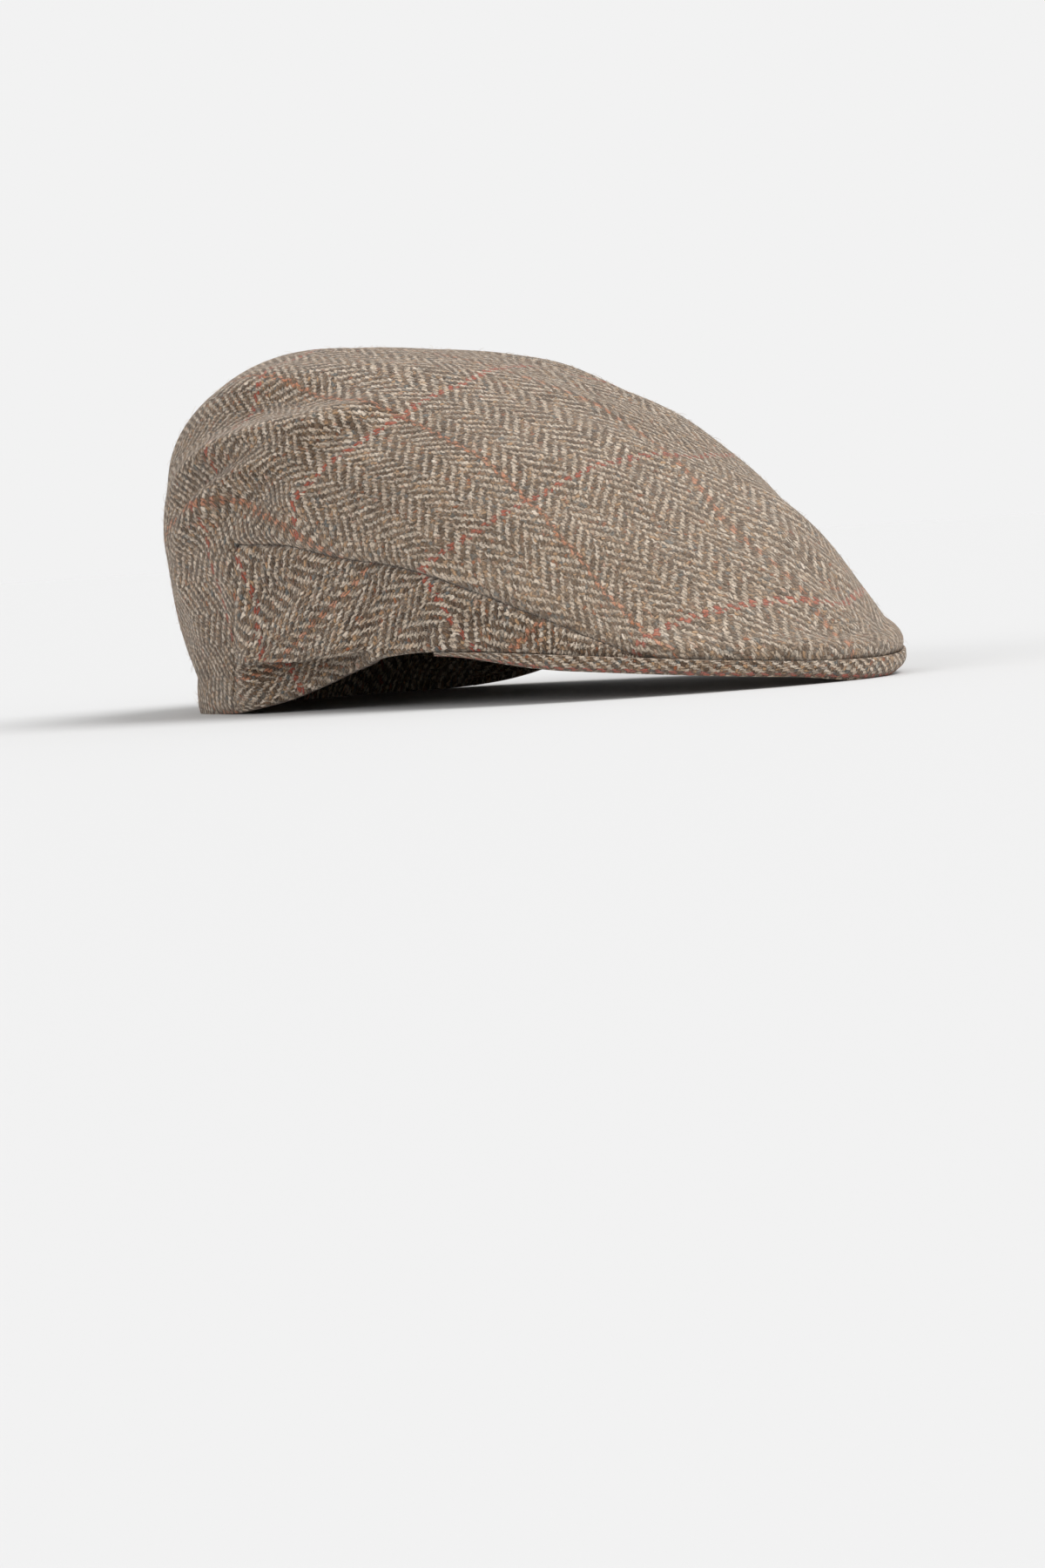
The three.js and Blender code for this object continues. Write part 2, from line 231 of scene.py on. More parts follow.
uneven = {"waves": 6, "perMillimetre": 0.11, "height": 0.28, "phases": 6.28}
unevenWaves = [(rng.normal(size=3) * uneven["perMillimetre"], rng.uniform(0, uneven["phases"]))
               for _ in range(uneven["waves"])]


# Slight unevenness of worn cloth: a sum of slow sine waves, each in a direction of its own
def unevenness(points):
    return sum(uneven["height"] * np.sin(points @ wave + phase) for wave, phase in unevenWaves)


# Each fold is a cosine bump across its width that fades toward its ends, and each groove a rounded V
def foldHeight(points):
    total = unevenness(points)
    for line, rise, width, sharpness in foldLines:
        gap, along = distanceTo(points, line)
        bump = (0.5 + 0.5 * np.cos(np.pi * np.minimum(gap / width, 1))) ** sharpness
        total = total + rise * bump * np.sin(np.pi * (foldEnds + (1 - 2 * foldEnds) * along))
    for line, depth, width in grooves:
        gap, _ = distanceTo(points, line)
        total = total + depth * np.maximum(1 - gap / width, 0) ** 2
    return total


# Outer face of the cloth: the smooth form moved along its normal by the folds, sideways at the rim and never
# below the table
def outerFace(angle, level):
    points = smoothForm(angle, level)
    normal = smoothNormal(angle, level)
    normal[..., 2] = np.where(level > rimLevel, 0, normal[..., 2])
    height = foldHeight(points) + lipHeight(angle, level)
    points = points + normal * height[..., None]
    points[..., 2] = np.maximum(points[..., 2], 0)
    return points


# Inner face: the outer face moved in by one thickness, with less of a drop and more of a sideways step where it
# would pass below the rim
def innerFace(angle, level, outer):
    normal = np.cross(np.gradient(outer, axis=1), np.gradient(outer, axis=0))
    rough = smoothNormal(angle, level)
    normal *= np.sign(np.sum(normal * rough, axis=-1, keepdims=True))
    normal = np.where((level < 0.02)[..., None], rough, normal)
    normal /= np.linalg.norm(normal, axis=-1, keepdims=True)
    cloth = capForm["cloth"]
    atRim = level > rimLevel
    room = np.where(atRim, 0, np.maximum(outer[..., 2] - rimHeightAt(angle), 0))
    drop = np.where(atRim, 0, np.minimum(cloth * normal[..., 2], room))
    upright = np.maximum(normal[..., 0] ** 2 + normal[..., 1] ** 2, capForm["leastUpright"])
    cutShort = drop < cloth * normal[..., 2] - 1e-6
    inward = np.where(atRim, cloth / upright, np.where(cutShort, (cloth - drop * normal[..., 2]) / upright, cloth))
    inner = outer - inward[..., None] * normal
    inner[..., 2] = outer[..., 2] - drop
    return inner


# Cloth layout: how far along and across the woven cloth places on the form lie, in millimetres, in rows of along,
# across and the places. None is a distance that isn't known. Red lines keep their along, orange lines their across.
topLayout = [
    (0, None, [(180, 0.19), (128, 0.38), (121, 0.554)]),
    (60, None, [(101, 0.758), (95, 0.722), (85, 0.632), (76, 0.534), (63, 0.336), (16, 0.068), (0, 0.07)]),
    (120, None, [(71, 0.882), (58, 0.796), (44, 0.68), (30, 0.544), (6, 0.446), (0, 0.45)]),
    (180, None, [(33, 0.958), (24, 0.9), (14, 0.858), (4, 0.858), (0, 0.862)]),
    (-32, None, [(139, 0.852), (136, 0.902), (135, 0.942), (140, 0.98)]),
    (None, -69, [(117, 0.436), (93, 0.506), (73, 0.55), (56, 0.624), (44, 0.768), (37, 0.888), (33, 0.958)]),
    (None, -124, [(140, 0.77), (131, 0.772), (117, 0.746), (104, 0.798), (94, 0.844), (90, 0.86)]),
    (None, -14, [(11, 0.27), (9, 0.376), (11, 0.582), (12, 0.656)]),
    (None, 0, [(0, 0.02), (0, 0.2), (0, 0.4), (0, 0.6), (0, 0.8), (0, 1), (180, 0.15), (180, 0.3)]),
    (None, -180, [(136, 1)]),
    (-40, 0, [(180, 0.4)]), (-55, -2, [(180, 0.5)]), (-71, -10, [(180, 0.6)]), (-86, -30, [(180, 0.7)]),
    (-100, -62, [(180, 0.8)]), (-110, -98, [(180, 0.9)]), (-118, -135, [(180, 1)]),
]
sideLayout = [
    (0, -30, [(71, 0.882)]), (0, -60, [(60, 0.994)]), (-60, 21, [(118, 0.83)]), (-60, -4, [(115, 0.95)]),
    (-60, None, [(115, 0.9), (114, 0.926)]), (-22, 0, [(90, 0.86)]), (-41, 0, [(104, 0.906)]),
    (16, -55, [(56, 0.926)]), (-3, -55, [(66, 0.97)]), (40, -80, [(42, 0.965)]), (-84, -28, [(129, 0.995)]),
    (-72, 6, [(123, 0.93)]),
]


layoutSlack = 0.6             # how loosely the cloth keeps to its guides, in millimetres


# Weighted sum of the distances to the guides, plus a plane: the weights make it pass near every guide
def layoutThrough(points, guides, values):
    gaps = np.linalg.norm(guides[:, None] - guides[None], axis=-1) - layoutSlack * np.eye(len(guides))
    plane = np.column_stack([np.ones(len(guides)), guides])
    system = np.block([[gaps, plane], [plane.T, np.zeros((4, 4))]])
    weights = np.linalg.solve(system, np.concatenate([values, np.zeros(4)]))
    reach = np.stack([np.linalg.norm(points - guide, axis=-1) for guide in guides], axis=-1)
    return reach @ weights[:-4] + weights[-4] + points @ weights[-3:]


# The left half of the cap mirrors the right, so the cloth is laid out on the right side's places. Guides up to
# the angle repeatTo stand on the left as well, so that the cloth runs smoothly over the middle of the front.
def layOut(angle, level, table, repeatTo=0):
    points = smoothForm(np.abs(angle), level)
    sheet = []
    for which in (1, 0):
        rows = [(place, row[which]) for row in table if row[which] is not None for place in row[2]]
        turned = (1, -1)[which]
        rows += [((-turn, down), turned * value) for (turn, down), value in rows if 0 < turn < repeatTo]
        turn, down = np.array([place for place, _ in rows], float).T
        values = np.array([value for _, value in rows], float)
        sheet.append(layoutThrough(points, smoothForm(turn, down), values))
    across, along = sheet
    return np.stack([across, along], axis=-1)


# A mesh from points and faces with equal numbers of corners. sheet holds the place on the cloth of each corner.
def makeMesh(name, points, faces, sheet, finishes, finishOf=None):
    mesh = bpy.data.meshes.new(name)
    faces = np.asarray(faces)
    mesh.vertices.add(len(points))
    mesh.vertices.foreach_set("co", (points * mm).astype(np.float32).ravel())
    mesh.loops.add(faces.size)
    mesh.loops.foreach_set("vertex_index", faces.astype(np.int32).ravel())
    mesh.polygons.add(len(faces))
    mesh.polygons.foreach_set("loop_start", np.arange(0, faces.size, faces.shape[1], dtype=np.int32))
    mesh.polygons.foreach_set("use_smooth", np.ones(len(faces), dtype=bool))
    layer = mesh.uv_layers.new(name="cloth")
    layer.data.foreach_set("uv", sheet.astype(np.float32).ravel())
    for finish in finishes:
        mesh.materials.append(finish)
    if finishOf is not None:
        mesh.polygons.foreach_set("material_index", finishOf.astype(np.int32))
    mesh.update(calc_edges=True)
    mesh.validate()
    piece = bpy.data.objects.new(name, mesh)
    bpy.context.scene.collection.objects.link(piece)
    return piece


# A cloth wall on a grid of rows and columns: outer face, inner face, and strips between their edges. A wrapped
# wall closes on itself and starts at one point, the top of the crown.
def clothWall(name, angle, level, sheet, finishes, wrapped):
    rows, columns = angle.shape
    outer = outerFace(angle, level)
    inner = innerFace(angle, level, outer)
    if wrapped:
        outer[0] = outer[0].mean(axis=0)
        inner[0] = inner[0].mean(axis=0)
    points = np.concatenate([outer.reshape(-1, 3), inner.reshape(-1, 3)])
    index = np.arange(rows * columns).reshape(rows, columns)
    right = np.roll(index, -1, axis=1) if wrapped else index[:, 1:]
    left = index if wrapped else index[:, :-1]
    face = np.stack([left[:-1], left[1:], right[1:], right[:-1]], axis=-1).reshape(-1, 4)
    under = face[:, ::-1] + rows * columns
    hem = np.stack([left[-1], left[-1] + rows * columns, right[-1] + rows * columns, right[-1]], axis=-1)
    strips = [hem]
    if not wrapped:
        start = np.stack([left[0], right[0], right[0] + rows * columns, left[0] + rows * columns], axis=-1)
        strips.append(start)
        for line, order in ((index[:, 0], 1), (index[:, -1], -1)):
            side = np.stack([line[:-1], line[:-1] + rows * columns, line[1:] + rows * columns, line[1:]], axis=-1)
            strips.append(side[:, ::order])
    faces = np.concatenate([face, under, *strips])[:, ::-1]
    # Faces on the left half read the mirrored cloth, so the two halves may differ at the middle of the back
    cornerAngle = angle.ravel()[faces % (rows * columns)]
    leftHalf = (np.where(cornerAngle <= -179.9, 0, cornerAngle).min(axis=1) < 0)[:, None]
    sheet = sheet.reshape(-1, 2)[faces % (rows * columns)]
    sheet = np.where(leftHalf[..., None], sheet * (-1, 1), sheet)
    inside = np.zeros(len(faces))
    inside[len(face):] = 1
    return makeMesh(name, points, faces, sheet, finishes, inside)


# Shader maths: a number in a material, to which + - * / and the other signs add Math nodes
class Number:
    def __init__(self, finish, socket):
        self.finish = finish
        self.socket = socket

    def calc(self, operation, *others):
        node = self.finish.node("ShaderNodeMath", {"operation": operation}, dict(enumerate((self, *others))))
        return Number(self.finish, node.outputs[0])

    def flipped(self, operation, other):
        node = self.finish.node("ShaderNodeMath", {"operation": operation}, {0: other, 1: self})
        return Number(self.finish, node.outputs[0])

    def __add__(self, other):
        return self.calc("ADD", other)

    def __sub__(self, other):
        return self.calc("SUBTRACT", other)

    def __mul__(self, other):
        return self.calc("MULTIPLY", other)

    def __truediv__(self, other):
        return self.calc("DIVIDE", other)

    def __pow__(self, other):
        return self.calc("POWER", other)

    def __mod__(self, other):
        return self.calc("FLOORED_MODULO", other)

    def __lt__(self, other):
        return self.calc("LESS_THAN", other)

    def __gt__(self, other):
        return self.calc("GREATER_THAN", other)

    def __rsub__(self, other):
        return self.flipped("SUBTRACT", other)

    def __rtruediv__(self, other):
        return self.flipped("DIVIDE", other)

    __radd__ = __add__
    __rmul__ = __mul__

    def floor(self):
        return self.calc("FLOOR")

    def fract(self):
        return self.calc("FRACT")

    def size(self):
        return self.calc("ABSOLUTE")


# The nodes of a new material or world, and the one way to add them: type, settings, then socket values or links
class Finish:
    def __init__(self, holder):
        holder.use_nodes = True
        self.holder = holder
        self.tree = holder.node_tree
        self.tree.nodes.clear()

    def node(self, kind, settings=None, sockets=None):
        node = self.tree.nodes.new(kind)
        for key, value in (settings or {}).items():
            if key == "stops":
                ramp = node.color_ramp
                while len(ramp.elements) < len(value):
                    ramp.elements.new(0.5)
                for element, (place, colour) in zip(ramp.elements, value):
                    element.position = place
                    element.color = (*colour, 1)
            else:
                setattr(node, key, value)
        for key, value in (sockets or {}).items():
            if isinstance(value, Number):
                value = value.socket
            if isinstance(value, bpy.types.NodeSocket):
                self.tree.links.new(value, node.inputs[key])
            else:
                node.inputs[key].default_value = value
        return node

    def number(self, node, output=0):
        return Number(self, node.outputs[output])

    def vector(self, *parts):
        return self.node("ShaderNodeCombineXYZ", None, dict(enumerate(parts))).outputs[0]

    def noise(self, vector, scale, detail=2.0, roughness=0.5):
        sockets = {"Vector": vector, "Scale": scale, "Detail": detail, "Roughness": roughness}
        return self.number(self.node("ShaderNodeTexNoise", {"noise_dimensions": "3D"}, sockets))

    def ramp(self, value, stops):
        return self.node("ShaderNodeValToRGB", {"stops": stops}, {0: value}).outputs[0]

    def mix(self, amount, below, above, blend="MIX"):
        settings = {"data_type": "RGBA", "blend_type": blend, "clamp_factor": True}
        return self.node("ShaderNodeMix", settings, {0: amount, 6: below, 7: above}).outputs[2]


# Linear colour from the 0 to 255 values that a screen shows
def shown(red, green, blue):
    values = [value / 255 for value in (red, green, blue)]
    return tuple(value / 12.92 if value < 0.04045 else ((value + 0.055) / 1.055) ** 2.4 for value in values)


tweed = {
    "yarn": 1.07,             # width of one yarn, in millimetres
    "column": 8,              # yarns in one herringbone column
    "redEvery": 56,           # yarns from one red line to the next
    "orangeEvery": 52,
    "orangeFrom": 13,
    "edgingFrom": 2,          # the red line along the lower edge of the peak
    "lineWidth": 1.5,         # a whole yarn and no more than one beside it
    "redShare": 0.72,
    "orangeShare": 0.65,
    "edgingShare": 0.85,
    "turnGap": 2,             # yarns that the twill lines jump at each turn of the herringbone
    # How the yarns stray from straight lines: waves per millimetre, and reach in millimetres
    "stray": [(0.045, 3.0), (0.6, 2.2), (2.4, 1.21)],
    "light": [(0.3, shown(166, 146, 126)), (0.5, shown(206, 188, 168)), (0.68, shown(228, 213, 196))],
    "dark": [(0.3, shown(74, 56, 43)), (0.5, shown(110, 89, 71)), (0.7, shown(160, 136, 114))],
    # Flecks of coloured wool: colour, seed, and the noise value from which they show
    "flecks": [(shown(106, 113, 113), 43.0, 0.6), (shown(190, 152, 114), 61.0, 0.57),
               (shown(160, 92, 56), 21.0, 0.635)],
    "fleckLong": 0.4,         # waves per millimetre along a yarn, and per yarn across
    "fleckAcross": 3.7,
    "toneLong": 0.25,
    "toneAcross": 7.31,
    "fibre": (3.4, 2.0),      # fibres per millimetre across the yarn, and their slant
    "fibreContrast": (4.4, 1.2),
    "floatContrast": 0.5,
    "wear": (0.05, 0.3),      # waves per millimetre, and contrast
    "shadeRange": (0.1, 1.1),
    "red": shown(182, 74, 54),
    "orange": shown(196, 104, 50),
    "napAndPaintedHighlight": shown(198, 180, 160),
    "napGrain": 1.1,          # waves per millimetre
    "frontPaintedHighlight": (40, 110, 0.26),   # painted highlight: the pale fuzz colour thickens toward the peak, where the key lamp shines: from, over, and how much
    "bump": 0.5,
    "roughness": 0.95,
    "specular": 0.15,
    "sheen": 0.45,
    "sheenRoughness": 0.24,
    "sheenTint": (1.0, 0.93, 0.86, 1),
}


# Two-up, two-down twill whose direction turns over every column, with the lines broken at each turn. Each
# float of yarn has its own rounded profile and tone, and fibres wind round it as slanted streaks.
def makeTweed(name, paintedLightTone=1.0, napAmount=0.1, edging=False):
    finish = Finish(bpy.data.materials.new(name))
    yarn = tweed["yarn"]
    place = finish.node("ShaderNodeUVMap", {"uv_map": "cloth"}).outputs[0]
    split = finish.node("ShaderNodeSeparateXYZ", None, {0: place})
    across, along = finish.number(split, 0), finish.number(split, 1)
    flat = finish.vector(across, along, 0.0)
    for scale, reach in tweed["stray"]:
        stray = finish.node("ShaderNodeTexNoise", None, {"Vector": flat, "Scale": scale, "Detail": 1.0}).outputs[1]
        straySplit = finish.node("ShaderNodeSeparateXYZ", None, {0: stray})
        across = across + (finish.number(straySplit, 0) - 0.5) * reach
        along = along + (finish.number(straySplit, 1) - 0.5) * reach
    end, pick = (across / yarn).floor(), (along / yarn).floor()
    acrossEnd, acrossPick = (across / yarn).fract(), (along / yarn).fract()
    inColumns = end % (2 * tweed["column"])
    turnBack = tweed["column"] - 0.5
    rising = inColumns < turnBack
    offset = turnBack - (inColumns - turnBack).size() + (1 - rising) * tweed["turnGap"]
    weaveStep = (pick + offset) % 4
    warpUp = weaveStep < 1.5  # the light yarn is on top for two steps of four
    warpShare = (weaveStep + acrossPick) / 2
    weftAcross = rising * acrossEnd + (1 - rising) * (1 - acrossEnd)
    weftShare = (weaveStep - 2 + weftAcross) / 2
    warpShape = acrossEnd * (1 - acrossEnd) * warpShare * (1 - warpShare) * 16
    weftShape = acrossPick * (1 - acrossPick) * weftShare * (1 - weftShare) * 16
    shape = (warpUp * warpShape + (1 - warpUp) * weftShape).calc("MAXIMUM", 0.0) ** 0.7
    yarnNumber = warpUp * end + (1 - warpUp) * pick
    whichFloat = finish.vector(yarnNumber, ((pick + offset) / 4).floor(), warpUp)
    floatTone = finish.number(finish.node("ShaderNodeTexWhiteNoise", {"noise_dimensions": "3D"}, {0: whichFloat}))

    toneLong, toneAcross = tweed["toneLong"], tweed["toneAcross"]
    warpTone = finish.noise(finish.vector(end * toneAcross, along * toneLong, 3.0), 1.0, 2.0)
    weftTone = finish.noise(finish.vector(across * toneLong, pick * toneAcross, 9.0), 1.0, 2.0)
    warpColour = finish.ramp(warpTone, tweed["light"])
    weftColour = finish.ramp(weftTone, tweed["dark"])
    fleckLong, fleckAcross = tweed["fleckLong"], tweed["fleckAcross"]
    for fleckColour, seed, limit in tweed["flecks"]:
        fleck = finish.noise(finish.vector(across * fleckLong, pick * fleckAcross, seed), 1.0, 1.0)
        weftColour = finish.mix(((fleck - limit) * 12).calc("MINIMUM", 0.85), weftColour, (*fleckColour, 1))
        fleck = finish.noise(finish.vector(end * fleckAcross, along * fleckLong, seed + 5), 1.0, 1.0)
        warpColour = finish.mix(((fleck - limit - 0.02) * 10).calc("MINIMUM", 0.55), warpColour, (*fleckColour, 1))
    if edging:
        edgeLine = ((end + tweed["edgingFrom"]) % tweed["orangeEvery"]) < tweed["lineWidth"]
        warpColour = finish.mix(edgeLine * tweed["edgingShare"], warpColour, (*tweed["red"], 1))
    else:
        redLine = (pick % tweed["redEvery"]) < tweed["lineWidth"]
        orangeLine = ((end + tweed["orangeFrom"]) % tweed["orangeEvery"]) < tweed["lineWidth"]
        weftColour = finish.mix(redLine * tweed["redShare"], weftColour, (*tweed["red"], 1))
        warpColour = finish.mix(orangeLine * tweed["orangeShare"], warpColour, (*tweed["orange"], 1))
    colour = finish.mix(warpUp, weftColour, warpColour)

    lengthwise = warpUp * along + (1 - warpUp) * across
    sideways = warpUp * across + (1 - warpUp) * along
    fibreScale, slant = tweed["fibre"]
    contrast, depth = tweed["fibreContrast"]
    wearScale, wear = tweed["wear"]
    darkest, brightest = tweed["shadeRange"]
    fibre = finish.noise(finish.vector(sideways * fibreScale + lengthwise * slant, lengthwise, 0.0), 1.0, 3.0, 0.7)
    floatShade = floatTone * tweed["floatContrast"] + (1 - tweed["floatContrast"] / 2)
    wornShade = finish.noise(flat, wearScale, 2.0) * wear + (1 - wear / 2)
    # Painted shade: each float's rounded profile darkens the colour toward its edges and ends, the gaps where shade
    # falls between floats, and keeps it bright along its crown. The fibre streaks, each float's tone and the wear
    # vary it at random.
    shade = (shape * 0.95 + 0.2) * (fibre * contrast - depth).calc("MAXIMUM", darkest)
    shade = (shade * floatShade * wornShade * paintedLightTone).calc("MINIMUM", brightest)
    shadeColour = finish.node("ShaderNodeCombineColor", None, {0: shade, 1: shade, 2: shade}).outputs[0]
    colour = finish.mix(1.0, colour, shadeColour, "MULTIPLY")
    # The pale fuzz colour lies in patches of noise, the wool's own fuzz, and thickens toward the peak as painted
    # highlight where the key lamp shines.
    highlightFrom, highlightOver, highlightGain = tweed["frontPaintedHighlight"]
    paintedFrontHighlight = ((along - highlightFrom) / highlightOver).calc("MAXIMUM", 0.0).calc("MINIMUM", 1.0)
    napAndPaintedHighlight = (finish.noise(flat, tweed["napGrain"], 4.0, 0.75) * 2.4 - 0.7) * (napAmount + paintedFrontHighlight * highlightGain)
    napAndHighlightColour = tuple(value * paintedLightTone for value in tweed["napAndPaintedHighlight"])
    colour = finish.mix(napAndPaintedHighlight, colour, (*napAndHighlightColour, 1))
    height = shape + fibre * 0.8
    bump = finish.node("ShaderNodeBump", None, {"Strength": 0.9, "Distance": tweed["bump"] * mm, "Height": height})
    gloss = finish.node("ShaderNodeBsdfPrincipled", None, {
        "Base Color": colour, "Roughness": tweed["roughness"], "Specular IOR Level": tweed["specular"],
        "Sheen Weight": tweed["sheen"], "Sheen Roughness": tweed["sheenRoughness"],
        "Sheen Tint": tweed["sheenTint"], "Normal": bump.outputs[0]})
    finish.node("ShaderNodeOutputMaterial", None, {0: gloss.outputs[0]})
    return finish.holder


# Painted light: the four materials are one tweed, and the second number paints the peak much brighter and the top a
# little brighter than the sides, for the light that falls on them.
tweedTop = makeTweed("tweedTop", 1.06)
tweedSide = makeTweed("tweedSide", 1.0, 0.08)
tweedPeak = makeTweed("tweedPeak", 1.28, 0.08, True)
tweedInside = makeTweed("tweedInside", 1.0, 0.2)
print("tweed mixed")


# Level of the top's lower edge: a cubic through the side seam's places, straight down the rear seam, and 1 where
# it meets the rim
def topEdge(angle):
    turn = np.abs(angle)
    line = np.array(sideSeam + rearSeam[1:], float)
    corner = len(sideSeam) - 1
    slopes = np.gradient(line[:corner + 1, 1], line[:corner + 1, 0])
    place = np.clip(np.searchsorted(line[:, 0], turn, side="right") - 1, 0, len(line) - 2)
    span = line[place + 1, 0] - line[place, 0]
    share = np.clip((turn - line[place, 0]) / span, 0, 1)
    straight = line[place, 1] + share * (line[place + 1, 1] - line[place, 1])
    near, far = slopes[np.minimum(place, corner)], slopes[np.minimum(place + 1, corner)]
    curve = (line[place, 1] * (1 + 2 * share) * (1 - share) ** 2 + line[place + 1, 1] * share ** 2 * (3 - 2 * share)
             + span * (near * share * (1 - share) ** 2 - far * share ** 2 * (1 - share)))
    atRim = (turn <= line[0, 0]) | (turn >= line[-1, 0])
    return np.where(atRim, 1, np.where(turn <= line[corner, 0], curve, straight))


# Half the seam gap as a step in level: the gap over the millimetres of one level, times the secant of the slope
def gapStep(angle):
    turn, drop = 0.2, 0.01
    edge = topEdge(angle)
    slope = np.maximum(np.abs(topEdge(angle + turn) - edge), np.abs(topEdge(angle - turn) - edge)) / turn
    perLevel = np.linalg.norm(smoothForm(angle, edge) - smoothForm(angle, edge - drop), axis=-1) / drop
    perDegree = np.linalg.norm(smoothForm(angle + turn, edge) - smoothForm(angle - turn, edge), axis=-1) / (2 * turn)
    return 0.5 * capForm["seamGap"] / perLevel * np.hypot(1, slope * perLevel / perDegree)


# Runs of columns (from, to, how many), closer together at the rear where the cloth folds
columnRuns = [(0, 33, 27), (33, 36, 3), (36, 117, 72), (117, 131, 28), (131, 150, 22), (150, 180, 26)]


# Angles of the columns from start to end, with both ends among them
def columnAngles(start, end):
    runs = [np.linspace(a, b, count, endpoint=False) for a, b, count in columnRuns]
    angles = np.concatenate([*runs, [180]])
    return np.unique(np.concatenate([[start], angles[(angles > start) & (angles < end)], [end]]))


topGrid = {"even": 74, "edge": 30, "evenLevel": 0.74, "repeatTo": 75}
sideGrid = {"rows": 46, "span": (33.8, 130.6)}


# The rows are even down to evenLevel, and from there to the seam they share out what is left
def makeTop():
    half = columnAngles(0, 180)
    angle = np.concatenate([-half[:0:-1], half[:-1]])
    edge = topEdge(angle)
    lower = np.where(edge < 1, edge - gapStep(angle), 1)
    even = np.linspace(0, topGrid["evenLevel"], topGrid["even"], endpoint=False)[:, None] * np.ones(len(angle))
    share = np.linspace(0, 1, topGrid["edge"] + 1)[:, None]
    last = topGrid["evenLevel"] + (lower - topGrid["evenLevel"]) * share
    level = np.concatenate([even, last])
    level[-1] = lower
    angles = np.broadcast_to(angle, level.shape)
    sheet = layOut(angles, level, topLayout, topGrid["repeatTo"])
    piece = clothWall("top_cloth", angles, level, sheet, [tweedTop, tweedInside], True)
    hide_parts("crown_panel")
    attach(piece, "root")


# The rows run evenly from the seam down to the rim
def makeSide(side, node):
    angle = columnAngles(*sideGrid["span"])
    angle = angle if side > 0 else -angle[::-1]
    upper = topEdge(angle) + gapStep(angle)
    share = np.linspace(0, 1, sideGrid["rows"] + 1)[:, None]
    level = upper + (1 - upper) * share
    level[-1] = 1
    angles = np.broadcast_to(angle, level.shape)
    name = "side_cloth_right" if side > 0 else "side_cloth_left"
    sheet = layOut(angles, level, sideLayout)
    piece = clothWall(name, angles, level, sheet, [tweedSide, tweedInside], False)
    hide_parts(node)
    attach(piece, "root")


makeTop()
makeSide(1, "side_panel_right")
makeSide(-1, "side_panel_left")
print("top and side panels made")


peak = {
    "thickness": 6.4, "innerThickness": 5, "innerRise": 13,
    "taperFrom": 44, "endAngle": 68, "tip": 1.2,          # it thins from one angle to the other, down to the tip
    "arch": 1.5, "archAt": 0.4, "nose": 0.18,
    "headHalfWidth": 78, "headHalfLength": 101,
    "seam": 0.12,                                         # gap under the top
    "droop": 2.0, "droopOver": (1, 15),                   # thinner by this much away from the middle
    "columns": 172, "around": 56,
    "edgingAt": 6.2,                                      # place round the outline where the red line lies
    "clothReach": 105, "clothPull": 1.2,                  # millimetres of cloth along the edge for each radian
}


# Outline of the peak at each angle: ten places, from its inner edge over the top, round the nose and back
def peakOutline(angle):
    turn = np.abs(angle)
    taper = smoothStep(turn, peak["taperFrom"], peak["endAngle"])
    thick = peak["thickness"] + (peak["tip"] - peak["thickness"]) * taper
    thick = thick - peak["droop"] * smoothStep(turn, *peak["droopOver"]) * (1 - taper)
    innerThick = peak["innerThickness"] + (peak["tip"] - peak["innerThickness"]) * taper
    edge = sectionAt(angle)[2]
    top = rimHeightAt(angle) - peak["seam"]
    turn = np.radians(turn)
    inner = 1 / np.hypot(np.sin(turn) / peak["headHalfWidth"], np.cos(turn) / peak["headHalfLength"])
    innerTop = top + peak["innerRise"] * (1 - taper)
    archReach = inner + (edge - inner) * peak["archAt"]
    archTop = innerTop + (top - innerTop) * peak["archAt"] + peak["arch"] * (1 - taper)
    seat = np.minimum(2 * capForm["cloth"], peak["archAt"] * (edge - inner))
    nose = peak["nose"] * thick
    reach = [inner, archReach, edge - seat, edge + 0.3 * nose, edge + nose, edge + 0.8 * nose, edge - 0.8 * nose,
             edge - seat, archReach, inner]
    height = [innerTop, archTop, top, top, top - 0.3 * thick, top - 0.72 * thick, top - thick,
              top - thick, archTop - innerThick, innerTop - innerThick]
    return np.stack([np.stack(reach), np.stack(height)], axis=-1)


